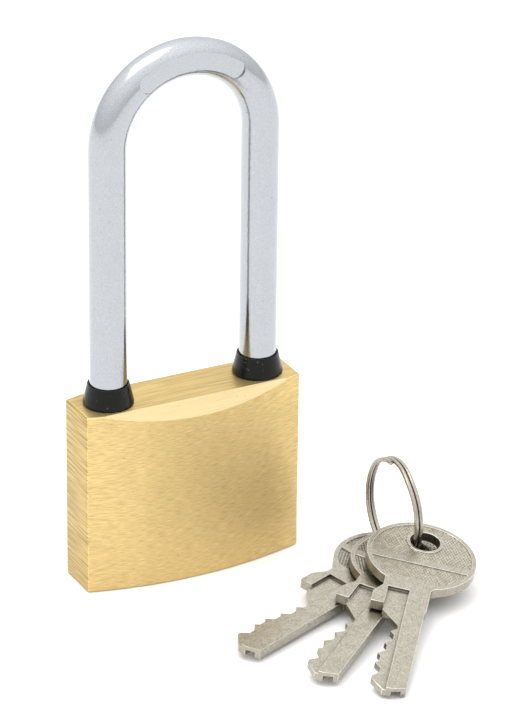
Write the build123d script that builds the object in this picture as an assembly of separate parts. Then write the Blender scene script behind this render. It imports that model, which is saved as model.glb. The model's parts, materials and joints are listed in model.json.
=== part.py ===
"""Long-shackle brass padlock with a five-pin plug, two bolts, a split ring and three keys.

Millimetres.  The origin is the middle of the body's underside, +Z is up and the
front face looks along -Y.  The heel leg is on the left (-X), the toe leg on the right.
The lock is modelled closed, with its pins standing at the shear line.
"""
import os
from math import asin, cos, degrees, pi, radians, sin, sqrt, tan

from build123d import *

# Body
BODY_WIDTH = 50.0
BODY_HEIGHT = 41.0
EDGE_DEPTH = 10.4
CROWN = 3.7
TOP_FLAT_DEPTH = 11.8
TOP_SLOPE = 45.0
BODY_EDGE_RADIUS = 0.5

# Shackle
BAR_DIAMETER = 8.0
LEG_INSET = 7.5
SHACKLE_CLEARANCE = 70.0
LEG_CLEARANCE = 0.10
TOE_DEPTH = 11.5
TOE_BEVEL = 1.2
NECK_DIAMETER = 4.6
FLANGE_HEIGHT = 2.5
SHOULDER_HEIGHT = 2.0
BORE_FLOOR = 2.0
BORE_END_CLEARANCE = 0.9
PAD_DEPTH = 0.45
PAD_WIDTH = 23.0
PAD_HEIGHT = 3.9

# Seals
SEAL_HEIGHT = 4.5
SEAL_BASE_WALL = 1.25
SEAL_TOP_WALL = 0.3
SEAL_STEM_WALL = 0.75
SEAL_STEM_DEPTH = 1.2
SEAL_CLEARANCE = 0.15
SEAL_FOOT = 0.5

# Bolts and drive
BOLT_DIAMETER = 4.4
BOLT_DEPTH = 3.8
BOLT_CLEARANCE = 0.10
BOLT_ENGAGEMENT = 1.0
BOLT_BAR_LENGTH = 7.0
NOTCH_CLEARANCE = 0.15
NOTCH_OVERRUN = 3.6
HALF_GAP = 0.15
DRIVE_PIN_INSET = 2.6
DRIVE_PIN_DIAMETER = 1.6
FORK_CLEARANCE = 0.25
FORK_WALL = 1.05
FORK_ROOT = 1.55
FORK_TIP = 1.34
FORK_HEIGHT = 2.0
FORK_GAP = 0.2
CAM_THICKNESS = 2.0
CAM_CLEARANCE = 0.25
CAM_SQUARE = 3.6
CAM_GAP = 0.1
CAM_FORK_GAP = 0.3

# Plug
PLUG_DIAMETER = 13.0
PLUG_CLEARANCE = 0.05
PLUG_RECESS = 0.3
PLUG_END_WALL = 1.6
KEYWAY_CLEARANCE = 0.12
KEYWAY_END = 0.5
CHAMBER_ROOF = 5.0

# Pins
PIN_COUNT = 5
PIN_DIAMETER = 2.7
PIN_CLEARANCE = 0.06
PIN_PITCH = 4.0
LAST_PIN_DROP = 3.9
CUT_DEPTHS = (2.75, 2.4, 1.5, 0.7, 1.3)
DRIVER_LENGTH = 4.4
SHEAR_GAP = 0.05
PIN_SPRING_LENGTH = 9.6
PIN_SPRING_DIAMETER = 2.4
PIN_SPRING_TURNS = 2
PIN_SPRING_WIRE = 0.45
PIN_TIP_RADIUS = 0.45

# Retaining pins
HEEL_PIN_DIAMETER = 2.2
HEEL_PIN_CLEARANCE = 0.2
PLUG_PIN_DIAMETER = 1.8
PLUG_GROOVE_DEPTH = 0.8
PLUG_GROOVE_DROP = 4.2
PRESS_GAP = 0.01

# Springs of the shackle and the bolts
HEEL_SPRING_CLEARANCE = 0.6
HEEL_SPRING_ROOM = 5.8
HEEL_SPRING_WIRE = 0.9
HEEL_SPRING_TURNS = 3
BOLT_SPRING_DIAMETER = 1.8
BOLT_SPRING_WIRE = 0.4
BOLT_SPRING_TURNS = 4
SPRING_SEAT_GAP = 0.05

# Keys
KEY_THICKNESS = 2.2
BOW_DIAMETER = 23.5
BOW_HOLE_OFFSET = 5.2
BOW_RIM = 1.0
BOW_RECESS = 0.25
BOW_BAND_WIDTH = 1.8
BOW_BAND_SHIFT = 2.4
BOW_TONGUE = 8.6
TONGUE_MARGIN = 1.1
HOLE_RIM = 0.7
NECK_RIGHT = 3.7
NECK_LEFT = 6.4
NECK_FILLET = 1.5
STOP_WIDTH = 1.75
STOP_LENGTH = 3.5
STOP_SLOPE = 2.9
SLOT_SIDE = 5.3
SLOT_LENGTH = 6.2
KEY_REACH = 52.5
BLADE_LEFT = 4.1
BLADE_RIGHT = 3.4
BLADE_STEP_DEPTH = 0.7
BLADE_STEP_SIDE = 0.7
BLADE_GROOVE_DEPTH = 1.3
BLADE_GROOVE_SIDE = 0.5
BLADE_GROOVE_WIDTH = 1.9
BLADE_OFFSET = 0.9
BLADE_ROOT = 1.4
ROOT_SLOPE = 42.0
CUT_FLAT = 1.8
TIP_SLOPE_LENGTH = 2.9
TIP_SLOPE_WIDTH = 2.7
TIP_NOSE = 1.9
TIP_SETBACK = 1.2

# Split ring and how the keys hang on it
RING_RADIUS = 11.0
RING_WIRE_WIDTH = 0.9
RING_WIRE_HEIGHT = 1.2
RING_TURN_GAP = 0.45
RING_CENTRE_X = 40.6
RING_CENTRE_Y = -19.8
RING_HEADING = 89.1
RING_LEAN = 1.4
RING_FLOOR_GAP = 0.05
RING_HOLE_CLEARANCE = 4.25
RING_CLIMB = 20.0
RING_END_MARGIN = 3.0
RING_START = 111.0
KEY_HEADINGS = (202.2, 219.5, 232.6)
KEY_SLOPES = (0.3, 2.7, 6.8)
KEY_ROLLS = (-7.7, -7.4, -9.3)
KEY_LIFTS = (1.65, 1.6, 2.45)
KEY_HOLE_SHIFTS = ((-0.38, 0.82), (0.5, 0.06), (1.4, -0.95))

# Places that follow from the sizes above
SIDE_X = BODY_WIDTH / 2
LEG_X = SIDE_X - LEG_INSET
BAR_RADIUS = BAR_DIAMETER / 2
BORE_RADIUS = BAR_RADIUS + LEG_CLEARANCE
BEND_Z = BODY_HEIGHT + SHACKLE_CLEARANCE - LEG_X + BAR_RADIUS
TOE_END_Z = BODY_HEIGHT - TOE_DEPTH
SEAL_BORE_RADIUS = BAR_RADIUS + SEAL_CLEARANCE
SEAL_STEM_RADIUS = SEAL_BORE_RADIUS + SEAL_STEM_WALL
BOLT_Z = BODY_HEIGHT - BOLT_DEPTH
BOLT_RADIUS = BOLT_DIAMETER / 2
CROSS_BORE_RADIUS = BOLT_RADIUS + BOLT_CLEARANCE
BOLT_TIP_X = LEG_X - BAR_RADIUS + BOLT_ENGAGEMENT
BOLT_HEEL_X = BOLT_TIP_X - BOLT_BAR_LENGTH
NOTCH_FLAT_X = BOLT_TIP_X + NOTCH_CLEARANCE
NOTCH_TOP_Z = BOLT_Z + BOLT_RADIUS + NOTCH_CLEARANCE
NOTCH_BOTTOM_Z = BOLT_Z - BOLT_RADIUS - NOTCH_OVERRUN
NECK_TOP_Z = NOTCH_BOTTOM_Z - SHOULDER_HEIGHT
HEEL_PIN_Z = NECK_TOP_Z - HEEL_PIN_CLEARANCE - HEEL_PIN_DIAMETER / 2
HEEL_END_Z = BORE_FLOOR + HEEL_SPRING_ROOM
FLANGE_TOP_Z = HEEL_END_Z + FLANGE_HEIGHT
LIFT = HEEL_PIN_Z - HEEL_PIN_DIAMETER / 2 - HEEL_PIN_CLEARANCE - FLANGE_TOP_Z
PLUG_RADIUS = PLUG_DIAMETER / 2
PLUG_BORE_RADIUS = PLUG_RADIUS + PLUG_CLEARANCE
CHAMBER_TOP = BODY_HEIGHT - CHAMBER_ROOF
DRIVE_RADIUS = PLUG_RADIUS - DRIVE_PIN_INSET
FORK_SLOT_X = DRIVE_RADIUS * cos(pi / 4)
FORK_SLOT_HALF = DRIVE_PIN_DIAMETER / 2 + FORK_CLEARANCE
FORK_TOP_Z = BOLT_Z - BOLT_RADIUS - FORK_GAP
CAM_TOP_Z = FORK_TOP_Z - FORK_HEIGHT - CAM_FORK_GAP
CAM_BOTTOM_Z = CAM_TOP_Z - CAM_THICKNESS
PLUG_TOP = CAM_BOTTOM_Z - CAM_GAP
PLUG_GROOVE_CENTRE = PLUG_TOP - PLUG_GROOVE_DROP
BLADE_LENGTH = PLUG_TOP - PLUG_RECESS - PLUG_END_WALL - KEYWAY_END
BLADE_EDGE_X = BLADE_LEFT - BLADE_OFFSET
ROOT_RUN = (SLOT_SIDE - BLADE_LEFT) / tan(radians(ROOT_SLOPE))
STOP_X = KEY_REACH - BLADE_LENGTH
PIN_RADIUS = PIN_DIAMETER / 2
CHAMBER_RADIUS = PIN_RADIUS + PIN_CLEARANCE
DRIVER_START_X = PLUG_BORE_RADIUS + SHEAR_GAP
SPRING_START_X = DRIVER_START_X + DRIVER_LENGTH
STOPPER_START_X = SPRING_START_X + PIN_SPRING_LENGTH
LAST_PIN = PLUG_GROOVE_CENTRE - LAST_PIN_DROP - PLUG_RECESS
PIN_STATIONS = [LAST_PIN - PIN_PITCH * (PIN_COUNT - 1 - number) for number in range(PIN_COUNT)]
BOW_HOLE_RADIUS = RING_WIRE_WIDTH + (RING_TURN_GAP + RING_HOLE_CLEARANCE) / 2


def rod(start, direction, length, radius):
    """A round bar from a start point along a direction."""
    return Solid.make_cylinder(radius, length, Plane(origin=start, z_dir=direction))


def block(low, high):
    """A box between two corners."""
    size = [top - bottom for bottom, top in zip(low, high)]
    return Pos(*low) * Box(*size, align=(Align.MIN, Align.MIN, Align.MIN))


def biarc(start, start_direction, end, end_direction):
    """Two tangent arcs from one point and direction to another."""
    chord = end - start
    both = start_direction + end_direction
    bend = 2 * (1 - start_direction.dot(end_direction))
    across = chord.dot(both)
    reach = (-across + sqrt(across**2 + bend * chord.dot(chord))) / bend
    first_corner = start + start_direction * reach
    second_corner = end - end_direction * reach
    middle = (first_corner + second_corner) / 2
    heading = (second_corner - first_corner).normalized()
    return [
        Edge.make_tangent_arc(start, start_direction, middle),
        Edge.make_tangent_arc(middle, heading, end),
    ]


def helix_path(radius, length, turns):
    """A helix up the Z axis, made of half turns."""
    rise = length / turns / (2 * pi)

    def point(angle):
        return Vector(radius * cos(angle), radius * sin(angle), rise * angle)

    def heading(angle):
        return Vector(-radius * sin(angle), radius * cos(angle), rise).normalized()

    edges = []
    for half in range(2 * turns):
        low = half * pi
        high = low + pi
        edges += biarc(point(low), heading(low), point(high), heading(high))
    return Wire(edges)


def least_gap(path, wire, turn_length):
    """The least clear space between stretches of a wound wire half a turn or more apart."""
    count = 400
    points = [path.position_at(step / count) for step in range(count + 1)]
    apart = int(count * turn_length / path.length / 2)
    gaps = []
    for first, point in enumerate(points):
        for other in points[first + apart:]:
            gaps.append((other - point).length)
    return min(gaps) - wire


def coil_spring(name, diameter, wire, length, turns):
    """A square-wire compression spring along Z, standing between two seats."""
    radius = (diameter - wire) / 2
    path = helix_path(radius, length - wire, turns)
    section = Plane(origin=path @ 0, z_dir=path % 0) * Rectangle(wire, wire)
    spring = Pos(0, 0, wire / 2) * sweep(section, path=path)
    print(name, "least gap", round(least_gap(path, wire, 2 * pi * radius), 2))
    return spring


def lock_body():
    """The brass block: crowned faces, sloped top edges, and all its bores."""
    half_depth = EDGE_DEPTH / 2
    front_left = (-SIDE_X, -half_depth)
    front_right = (SIDE_X, -half_depth)
    back_right = (SIDE_X, half_depth)
    back_left = (-SIDE_X, half_depth)
    outline = Wire([
        Edge.make_three_point_arc(front_left, (0, -half_depth - CROWN), front_right),
        Edge.make_line(front_right, back_right),
        Edge.make_three_point_arc(back_right, (0, half_depth + CROWN), back_left),
        Edge.make_line(back_left, front_left),
    ])
    body = extrude(make_face(outline), BODY_HEIGHT, dir=(0, 0, 1))
    corners = body.edges().filter_by(Axis.Z)
    body = fillet(corners, BODY_EDGE_RADIUS)
    body = fillet(body.faces().sort_by(Axis.Z)[0].edges(), BODY_EDGE_RADIUS)
    ends = body.faces().sort_by(Axis.Z)[-1].edges().filter_by(Axis.Y)
    body = fillet(ends, BODY_EDGE_RADIUS)
    for side in (-1, 1):
        slope = Plane(
            origin=(0, side * TOP_FLAT_DEPTH / 2, BODY_HEIGHT),
            x_dir=(1, 0, 0),
            z_dir=(0, side * sin(radians(TOP_SLOPE)), cos(radians(TOP_SLOPE))),
        )
        cutter = slope * Box(
            2 * BODY_WIDTH, BODY_HEIGHT, CROWN + BODY_HEIGHT, align=(Align.CENTER, Align.CENTER, Align.MIN)
        )
        body -= cutter
    body -= rod((0, 0, 0), (0, 0, 1), CHAMBER_TOP, PLUG_BORE_RADIUS)
    body -= rod((LEG_X, 0, TOE_END_Z - BORE_END_CLEARANCE), (0, 0, 1), BODY_HEIGHT, BORE_RADIUS)
    body -= rod((-LEG_X, 0, BORE_FLOOR), (0, 0, 1), BODY_HEIGHT, BORE_RADIUS)
    for x in (-LEG_X, LEG_X):
        body -= rod(
            (x, 0, BODY_HEIGHT - SEAL_STEM_DEPTH - PRESS_GAP),
            (0, 0, 1),
            BODY_HEIGHT,
            SEAL_STEM_RADIUS + PRESS_GAP,
        )
    body -= rod((-LEG_X, 0, BOLT_Z), (1, 0, 0), BODY_WIDTH, CROSS_BORE_RADIUS)
    for station in PIN_STATIONS:
        body -= rod((0, 0, PLUG_RECESS + station), (1, 0, 0), BODY_WIDTH, CHAMBER_RADIUS)
    body -= rod((0, 0, PLUG_GROOVE_CENTRE), (1, 0, 0), BODY_WIDTH, PLUG_PIN_DIAMETER / 2 + PRESS_GAP)
    body -= rod((0, 0, HEEL_PIN_Z), (-1, 0, 0), LEG_X, HEEL_PIN_DIAMETER / 2 + PRESS_GAP)
    return body


def shackle():
    """The round bar, bent over the top, with a notch in each leg and a necked heel."""
    bend = revolve(
        Plane(origin=(LEG_X, 0, BEND_Z), z_dir=(0, 0, 1)) * Circle(BAR_RADIUS),
        axis=Axis((0, 0, BEND_Z), (0, -1, 0)),
        revolution_arc=180,
    )
    toe = rod((LEG_X, 0, TOE_END_Z), (0, 0, 1), BEND_Z - TOE_END_Z, BAR_RADIUS)
    toe = chamfer(toe.faces().sort_by(Axis.Z)[0].edges(), TOE_BEVEL)
    heel = rod((-LEG_X, 0, HEEL_END_Z), (0, 0, 1), BEND_Z - HEEL_END_Z, BAR_RADIUS)
    neck = rod((-LEG_X, 0, FLANGE_TOP_Z), (0, 0, 1), NECK_TOP_Z - FLANGE_TOP_Z, BAR_DIAMETER)
    neck -= rod((-LEG_X, 0, FLANGE_TOP_Z), (0, 0, 1), NECK_TOP_Z - FLANGE_TOP_Z, NECK_DIAMETER / 2)
    bar = bend + toe + (heel - neck)
    bar -= block(
        (-NOTCH_FLAT_X, -BAR_DIAMETER, NOTCH_BOTTOM_Z), (NOTCH_FLAT_X, BAR_DIAMETER, NOTCH_TOP_Z)
    )
    half_angle = degrees(asin(PAD_WIDTH / 2 / LEG_X) - PAD_HEIGHT / 2 / LEG_X)
    middle_line = CenterArc((0, 0), LEG_X, 90 - half_angle, 2 * half_angle)
    front = Plane(origin=(0, PAD_DEPTH - BAR_RADIUS, BEND_Z), x_dir=(1, 0, 0), z_dir=(0, -1, 0))
    return bar - extrude(front * SlotArc(middle_line, PAD_HEIGHT), BAR_DIAMETER)


def leg_seal(x):
    """A cone-shaped collar that keeps water out round one leg."""
    inner = SEAL_BORE_RADIUS
    stem = SEAL_STEM_RADIUS
    base = inner + SEAL_BASE_WALL
    profile = Polyline(
        (inner, BODY_HEIGHT - SEAL_STEM_DEPTH),
        (stem, BODY_HEIGHT - SEAL_STEM_DEPTH),
        (stem, BODY_HEIGHT),
        (base, BODY_HEIGHT),
        (base, BODY_HEIGHT + SEAL_FOOT),
        (inner + SEAL_TOP_WALL, BODY_HEIGHT + SEAL_HEIGHT),
        (inner, BODY_HEIGHT + SEAL_HEIGHT),
        close=True,
    )
    return Pos(x, 0, 0) * revolve(Plane.XZ * make_face(profile), axis=Axis.Z)


def toe_bolt():
    """The bolt of the toe leg, with a fork under its inner end for a drive pin."""
    bar = rod((BOLT_HEEL_X, 0, BOLT_Z), (1, 0, 0), BOLT_BAR_LENGTH, BOLT_RADIUS)
    prong_x = FORK_SLOT_X + FORK_SLOT_HALF
    tail = rod((prong_x, 0, BOLT_Z), (1, 0, 0), BOLT_HEEL_X - prong_x, BOLT_RADIUS)
    tail &= block(
        (prong_x, HALF_GAP, BOLT_Z - BOLT_DIAMETER), (BOLT_HEEL_X, BOLT_DIAMETER, BOLT_Z - HALF_GAP)
    )
    web = block(
        (prong_x, HALF_GAP, FORK_TOP_Z), (prong_x + FORK_WALL, FORK_ROOT, BOLT_Z - HALF_GAP)
    )
    fork = block(
        (FORK_SLOT_X - FORK_SLOT_HALF - FORK_WALL, HALF_GAP, FORK_TOP_Z - FORK_HEIGHT),
        (prong_x + FORK_WALL, FORK_SLOT_X + FORK_TIP, FORK_TOP_Z),
    )
    fork -= block(
        (FORK_SLOT_X - FORK_SLOT_HALF, FORK_ROOT, 0), (prong_x, BODY_WIDTH, BODY_HEIGHT)
    )
    return bar + tail + web + fork


def heel_bolt():
    """The bolt of the heel leg, the toe bolt turned half round."""
    return Rot(0, 0, 180) * toe_bolt()


def bolt_spring():
    """The spring between the two bolts."""
    length = 2 * (BOLT_HEEL_X - SPRING_SEAT_GAP)
    spring = coil_spring("bolt_spring", BOLT_SPRING_DIAMETER, BOLT_SPRING_WIRE, length, BOLT_SPRING_TURNS)
    seat = Plane(
        origin=(-length / 2, 0, BOLT_Z + BOLT_SPRING_DIAMETER / 2 + HALF_GAP),
        x_dir=(0, 1, 0),
        z_dir=(1, 0, 0),
    )
    return seat.location * spring


def drive_cam():
    """The disc on the plug's square end, with a drive pin for each bolt."""
    cam = rod((0, 0, CAM_BOTTOM_Z), (0, 0, 1), CAM_THICKNESS, PLUG_BORE_RADIUS - CAM_CLEARANCE)
    half = CAM_SQUARE / 2 + PRESS_GAP
    cam -= block((-half, -half, 0), (half, half, BODY_HEIGHT))
    for side in (-1, 1):
        cam += rod(
            (side * FORK_SLOT_X, side * FORK_SLOT_X, CAM_TOP_Z - CAM_THICKNESS / 2),
            (0, 0, 1),
            FORK_TOP_Z - CAM_TOP_Z + CAM_THICKNESS / 2,
            DRIVE_PIN_DIAMETER / 2,
        )
    return cam


def heel_spring():
    """The spring that lifts the shackle, pressed together under the heel leg."""
    length = HEEL_END_Z - BORE_FLOOR - 2 * SPRING_SEAT_GAP
    diameter = 2 * (BORE_RADIUS - HEEL_SPRING_CLEARANCE)
    spring = coil_spring("heel_spring", diameter, HEEL_SPRING_WIRE, length, HEEL_SPRING_TURNS)
    return Pos(-LEG_X, 0, BORE_FLOOR + SPRING_SEAT_GAP) * spring


def blade_section():
    """The blade seen from its tip: a step over the cut half, a groove under the other."""
    top = KEY_THICKNESS / 2
    groove_end = BLADE_GROOVE_SIDE + BLADE_GROOVE_WIDTH
    return make_face(Polyline(
        (-BLADE_LEFT, -top),
        (BLADE_GROOVE_SIDE, -top),
        (BLADE_GROOVE_SIDE, BLADE_GROOVE_DEPTH - top),
        (groove_end, BLADE_GROOVE_DEPTH - top),
        (groove_end, -top),
        (BLADE_RIGHT, -top),
        (BLADE_RIGHT, top),
        (-BLADE_STEP_SIDE, top),
        (-BLADE_STEP_SIDE, top - BLADE_STEP_DEPTH),
        (-BLADE_LEFT, top - BLADE_STEP_DEPTH),
        close=True,
    ))


def root_section():
    """The thin side of the blade as wide as it is at the root."""
    return Pos(-SLOT_SIDE, -KEY_THICKNESS / 2) * Rectangle(
        SLOT_SIDE - BLADE_STEP_SIDE, KEY_THICKNESS - BLADE_STEP_DEPTH, align=(Align.MIN, Align.MIN)
    )


def plug():
    """The turning core: keyway, pin holes, ring groove and square end."""
    core = rod((0, 0, PLUG_RECESS), (0, 0, 1), PLUG_TOP - PLUG_RECESS, PLUG_RADIUS)
    half = CAM_SQUARE / 2
    core += block((-half, -half, PLUG_TOP), (half, half, CAM_TOP_Z))
    slot = Pos(-BLADE_OFFSET, 0, PLUG_RECESS) * Rot(0, 0, 180) * offset(
        blade_section(), KEYWAY_CLEARANCE, kind=Kind.INTERSECTION
    )
    core -= extrude(slot, BLADE_LENGTH + KEYWAY_END, dir=(0, 0, 1))
    mouth = Pos(-BLADE_OFFSET, 0, PLUG_RECESS) * Rot(0, 0, 180) * offset(
        root_section(), KEYWAY_CLEARANCE, kind=Kind.INTERSECTION
    )
    core -= extrude(mouth, BLADE_ROOT + ROOT_RUN + KEYWAY_END, dir=(0, 0, 1))
    hole_start = BLADE_EDGE_X - max(CUT_DEPTHS) - PIN_CLEARANCE
    for station in PIN_STATIONS:
        core -= rod((hole_start, 0, PLUG_RECESS + station), (1, 0, 0), PLUG_DIAMETER, CHAMBER_RADIUS)
    width = PLUG_PIN_DIAMETER + 2 * PIN_CLEARANCE
    groove = rod((0, 0, PLUG_GROOVE_CENTRE - width / 2), (0, 0, 1), width, PLUG_DIAMETER)
    groove -= rod((0, 0, 0), (0, 0, 1), BODY_HEIGHT, PLUG_RADIUS - PLUG_GROOVE_DEPTH)
    return core - groove


def key_pin(number):
    """A pin in the plug, whose cone stands in one cut of the key."""
    z = PLUG_RECESS + PIN_STATIONS[number]
    tip_x = BLADE_EDGE_X - CUT_DEPTHS[number]
    cone = PIN_RADIUS - PIN_TIP_RADIUS
    end_x = sqrt(PLUG_RADIUS**2 - PIN_RADIUS**2) - SHEAR_GAP
    point = Solid.make_cone(PIN_TIP_RADIUS, PIN_RADIUS, cone, Plane(origin=(tip_x, 0, z), z_dir=(1, 0, 0)))
    return point.fuse(rod((tip_x + cone, 0, z), (1, 0, 0), end_x - tip_x - cone, PIN_RADIUS))


def driver_pin(number):
    """A pin in the body, just clear of the plug."""
    z = PLUG_RECESS + PIN_STATIONS[number]
    return rod((DRIVER_START_X, 0, z), (1, 0, 0), DRIVER_LENGTH, PIN_RADIUS)


def pin_spring(number):
    """The spring behind one driver pin."""
    length = PIN_SPRING_LENGTH - 2 * SPRING_SEAT_GAP
    name = f"pin_spring_{number + 1}"
    spring = coil_spring(name, PIN_SPRING_DIAMETER, PIN_SPRING_WIRE, length, PIN_SPRING_TURNS)
    seat = Plane(
        origin=(SPRING_START_X + SPRING_SEAT_GAP, 0, PLUG_RECESS + PIN_STATIONS[number]),
        x_dir=(0, 1, 0),
        z_dir=(1, 0, 0),
    )
    return seat.location * spring


def chamber_plug(number):
    """The stopper that closes one pin chamber, flush with the side."""
    z = PLUG_RECESS + PIN_STATIONS[number]
    return rod((STOPPER_START_X, 0, z), (1, 0, 0), SIDE_X - STOPPER_START_X, CHAMBER_RADIUS - PRESS_GAP)


def cross_bore_plug():
    """The stopper that closes the bolts' bore, flush with the side."""
    start = LEG_X + BORE_RADIUS + HALF_GAP
    return rod((start, 0, BOLT_Z), (1, 0, 0), SIDE_X - start, CROSS_BORE_RADIUS - PRESS_GAP)


def plug_retaining_pin():
    """The long pin from the side into the plug's ring groove."""
    start = PLUG_RADIUS - PLUG_GROOVE_DEPTH + HALF_GAP
    return rod((start, 0, PLUG_GROOVE_CENTRE), (1, 0, 0), SIDE_X - start, PLUG_PIN_DIAMETER / 2)


def heel_retaining_pin():
    """The pin through the inner wall that stands over the heel's flange."""
    start = -PLUG_BORE_RADIUS - HALF_GAP
    tip = -LEG_X + NECK_DIAMETER / 2 + HEEL_PIN_CLEARANCE
    return rod((start, 0, HEEL_PIN_Z), (-1, 0, 0), start - tip, HEEL_PIN_DIAMETER / 2)


def blade_outline():
    """The blade's sloped root, its blank up to the tip, and its cuts."""
    root_end = STOP_X + BLADE_ROOT
    deepest = max(CUT_DEPTHS)
    root = make_face(Polyline(
        (STOP_X, -SLOT_SIDE),
        (root_end, -SLOT_SIDE),
        (root_end + ROOT_RUN + deepest / tan(radians(ROOT_SLOPE)), deepest - BLADE_LEFT),
        (STOP_X, deepest - BLADE_LEFT),
        close=True,
    ))
    blank = make_face(Polyline(
        (STOP_X, -BLADE_LEFT),
        (KEY_REACH - TIP_SLOPE_LENGTH, -BLADE_LEFT),
        (KEY_REACH, TIP_SLOPE_WIDTH - BLADE_LEFT),
        (KEY_REACH, TIP_SLOPE_WIDTH + TIP_NOSE - BLADE_LEFT),
        (KEY_REACH - TIP_SETBACK, BLADE_RIGHT),
        (STOP_X, BLADE_RIGHT),
        close=True,
    ))
    for station, depth in zip(PIN_STATIONS, CUT_DEPTHS):
        x = STOP_X + station
        flat = CUT_FLAT / 2
        floor = depth - BLADE_LEFT
        blank -= make_face(Polyline(
            (x - flat, floor),
            (x + flat, floor),
            (x + flat + 2 * depth, floor - 2 * depth),
            (x - flat - 2 * depth, floor - 2 * depth),
            close=True,
        ))
    return blank + root


def flat_key():
    """A key lying flat: ring hole at the origin, tip along +X, cuts along -Y."""
    half_thick = KEY_THICKNESS / 2
    bow = Pos(BOW_HOLE_OFFSET, 0) * Circle(BOW_DIAMETER / 2)
    stop_side = NECK_LEFT + STOP_WIDTH
    neck = make_face(Polyline(
        (BOW_HOLE_OFFSET, -NECK_LEFT),
        (STOP_X - STOP_LENGTH - STOP_SLOPE, -NECK_LEFT),
        (STOP_X - STOP_LENGTH, -stop_side),
        (STOP_X, -stop_side),
        (STOP_X, NECK_RIGHT),
        (BOW_HOLE_OFFSET, NECK_RIGHT),
        close=True,
    ))
    head = extrude(bow + neck, half_thick, both=True)
    joint_x = BOW_HOLE_OFFSET + sqrt(BOW_DIAMETER**2 / 4 - NECK_RIGHT**2)
    inner_corner = head.edges().filter_by(Axis.Z).sort_by_distance((joint_x, NECK_RIGHT, 0))[0]
    head = fillet(inner_corner, NECK_FILLET)

    field = Pos(BOW_HOLE_OFFSET, 0) * Circle(BOW_DIAMETER / 2 - BOW_RIM)
    field -= Circle(BOW_HOLE_RADIUS + HOLE_RIM)
    field -= Pos(BOW_HOLE_OFFSET + BOW_BAND_SHIFT, 0) * Rectangle(BOW_BAND_WIDTH, BOW_DIAMETER)
    field -= Pos(BOW_HOLE_OFFSET + BOW_TONGUE, -NECK_LEFT - TONGUE_MARGIN) * Rectangle(
        BOW_DIAMETER, NECK_LEFT + NECK_RIGHT + 2 * TONGUE_MARGIN, align=(Align.MIN, Align.MIN)
    )
    for side in (-1, 1):
        head -= Pos(0, 0, side * (half_thick - BOW_RECESS / 2)) * extrude(field, BOW_RECESS / 2, both=True)
    head -= rod((0, 0, -KEY_THICKNESS), (0, 0, 1), 2 * KEY_THICKNESS, BOW_HOLE_RADIUS)
    blade = extrude(blade_outline(), KEY_THICKNESS, both=True)
    end_on = Plane(origin=(STOP_X, 0, 0), x_dir=(0, 1, 0), z_dir=(1, 0, 0))
    blade &= extrude(end_on * (blade_section() + root_section()), KEY_REACH - STOP_X, dir=(1, 0, 0))
    slot = block(
        (STOP_X - SLOT_LENGTH, -SLOT_SIDE, half_thick - BLADE_STEP_DEPTH),
        (STOP_X, -BLADE_STEP_SIDE, KEY_THICKNESS),
    )
    return head - slot + blade


def ring_plane():
    """The plane of the split ring, which stands on the floor and leans a little."""
    heading = radians(RING_HEADING)
    lean = radians(RING_LEAN)
    along = Vector(cos(heading), sin(heading), 0)
    upward = Vector(sin(heading) * sin(lean), -cos(heading) * sin(lean), cos(lean))
    half_width = RING_WIRE_WIDTH + RING_TURN_GAP / 2
    rise = (RING_RADIUS + RING_WIRE_HEIGHT / 2) * cos(lean) + half_width * sin(lean)
    centre_z = rise + RING_FLOOR_GAP
    return Plane(origin=(RING_CENTRE_X, RING_CENTRE_Y, centre_z), x_dir=along, z_dir=along.cross(upward))


def key_place(number):
    """Where a key's ring hole is, and how the key lies on the ones below it."""
    height = (number + 0.5) * KEY_THICKNESS + KEY_LIFTS[number]
    ring = ring_plane()
    climb = (height - ring.origin.Z) / ring.y_dir.Z
    inward = sqrt(RING_RADIUS**2 - climb**2)
    wire = ring.origin + ring.y_dir * climb - ring.x_dir * inward
    shift_x, shift_y = KEY_HOLE_SHIFTS[number]
    heading = radians(KEY_HEADINGS[number])
    slope = radians(KEY_SLOPES[number])
    roll = radians(KEY_ROLLS[number])
    forward = Vector(cos(heading) * cos(slope), sin(heading) * cos(slope), -sin(slope))
    left = Vector(-sin(heading), cos(heading), 0)
    level = forward.cross(left)
    return Plane(
        origin=(wire.X + shift_x, wire.Y + shift_y, height),
        x_dir=forward,
        z_dir=level * cos(roll) - left * sin(roll),
    )


def key(number):
    """One key, hanging on the ring and lying with its tip close to the floor."""
    return key_place(number).location * flat_key()


def key_ring():
    """The split ring: two flat turns of wire with one climb between them."""
    step = RING_WIRE_WIDTH + RING_TURN_GAP

    def point(angle, level):
        turn = radians(RING_START + angle)
        return Vector(RING_RADIUS * cos(turn), RING_RADIUS * sin(turn), level)

    def heading(angle):
        turn = radians(RING_START + angle)
        return Vector(-sin(turn), cos(turn), 0)

    def flat_turn(start, end, level):
        third = (end - start) / 3
        return [
            Edge.make_tangent_arc(
                point(start + third * part, level),
                heading(start + third * part),
                point(start + third * (part + 1), level),
            )
            for part in range(3)
        ]

    climb_start = 360 - RING_CLIMB
    edges = flat_turn(RING_END_MARGIN, climb_start, -step / 2)
    edges += biarc(point(climb_start, -step / 2), heading(climb_start), point(360, step / 2), heading(360))
    edges += flat_turn(360, 360 + climb_start - RING_END_MARGIN, step / 2)
    path = Wire(edges)
    across = point(RING_END_MARGIN, 0).normalized()
    start = Plane(origin=path @ 0, x_dir=across, z_dir=path % 0)
    section = start * Rectangle(RING_WIRE_HEIGHT, RING_WIRE_WIDTH)
    ring = sweep(section, path=path)
    print("key_ring least gap", round(least_gap(path, RING_WIRE_WIDTH, 2 * pi * RING_RADIUS), 2))
    return ring_plane().location * ring


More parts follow.
